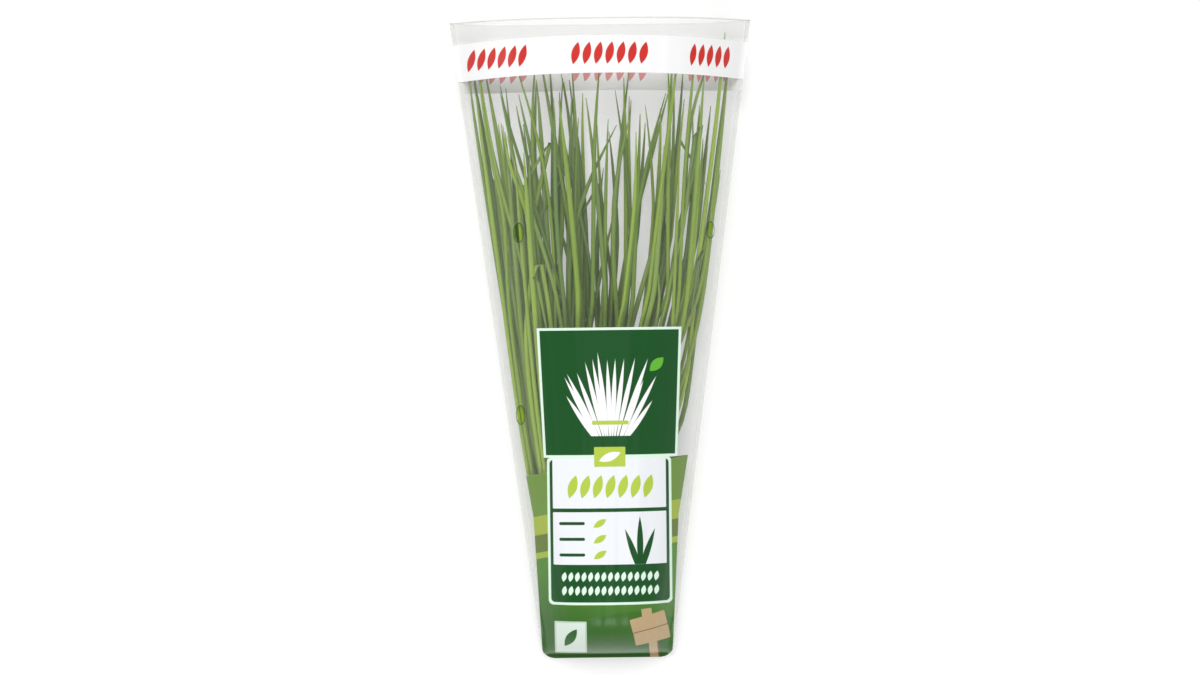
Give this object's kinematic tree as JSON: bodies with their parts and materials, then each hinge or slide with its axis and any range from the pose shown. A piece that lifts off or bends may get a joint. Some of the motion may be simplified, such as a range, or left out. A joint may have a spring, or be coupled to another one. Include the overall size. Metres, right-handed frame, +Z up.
{
  "type": "chive bunch in a film sleeve",
  "caption": "Bunch of cut chives tied near its cut ends, lying in a tapered clear film sleeve with a printed front and an open mouth.",
  "frame": {"origin": "on the surface the bunch lies on, under the middle of the sleeve", "axes": "+Y along the sleeve towards its open mouth and the leaf tips, +Z up out of the printed front"},
  "size_m": [0.1648, 0.35, 0.0631],
  "materials": {
    "printed_film": "gloss",
    "band_rubber": "matte",
    "chive_leaf": "satin"
  },
  "bodies": {
    "root": {"sleeve_front_film": "printed_film", "sleeve_back_film": "printed_film", "tie_band": "band_rubber", "leaf_01": "chive_leaf", "leaf_02": "chive_leaf", "leaf_03": "chive_leaf", "leaf_04": "chive_leaf", "leaf_05": "chive_leaf", "leaf_06": "chive_leaf", "leaf_07": "chive_leaf", "leaf_08": "chive_leaf", "leaf_09": "chive_leaf", "leaf_10": "chive_leaf", "leaf_11": "chive_leaf", "leaf_12": "chive_leaf", "leaf_13": "chive_leaf", "leaf_14": "chive_leaf", "leaf_15": "chive_leaf", "leaf_16": "chive_leaf", "leaf_17": "chive_leaf", "leaf_18": "chive_leaf", "leaf_19": "chive_leaf", "leaf_20": "chive_leaf", "leaf_21": "chive_leaf", "leaf_22": "chive_leaf", "leaf_23": "chive_leaf", "leaf_24": "chive_leaf", "leaf_25": "chive_leaf", "leaf_26": "chive_leaf", "leaf_27": "chive_leaf", "leaf_28": "chive_leaf", "leaf_29": "chive_leaf", "leaf_30": "chive_leaf", "leaf_31": "chive_leaf", "leaf_32": "chive_leaf", "leaf_33": "chive_leaf", "leaf_34": "chive_leaf", "leaf_35": "chive_leaf", "leaf_36": "chive_leaf", "leaf_37": "chive_leaf", "leaf_38": "chive_leaf", "leaf_39": "chive_leaf", "leaf_40": "chive_leaf", "leaf_41": "chive_leaf", "leaf_42": "chive_leaf", "leaf_43": "chive_leaf", "leaf_44": "chive_leaf", "leaf_45": "chive_leaf", "leaf_46": "chive_leaf", "leaf_47": "chive_leaf", "leaf_48": "chive_leaf", "leaf_49": "chive_leaf", "leaf_50": "chive_leaf"}
  },
  "joints": []
}
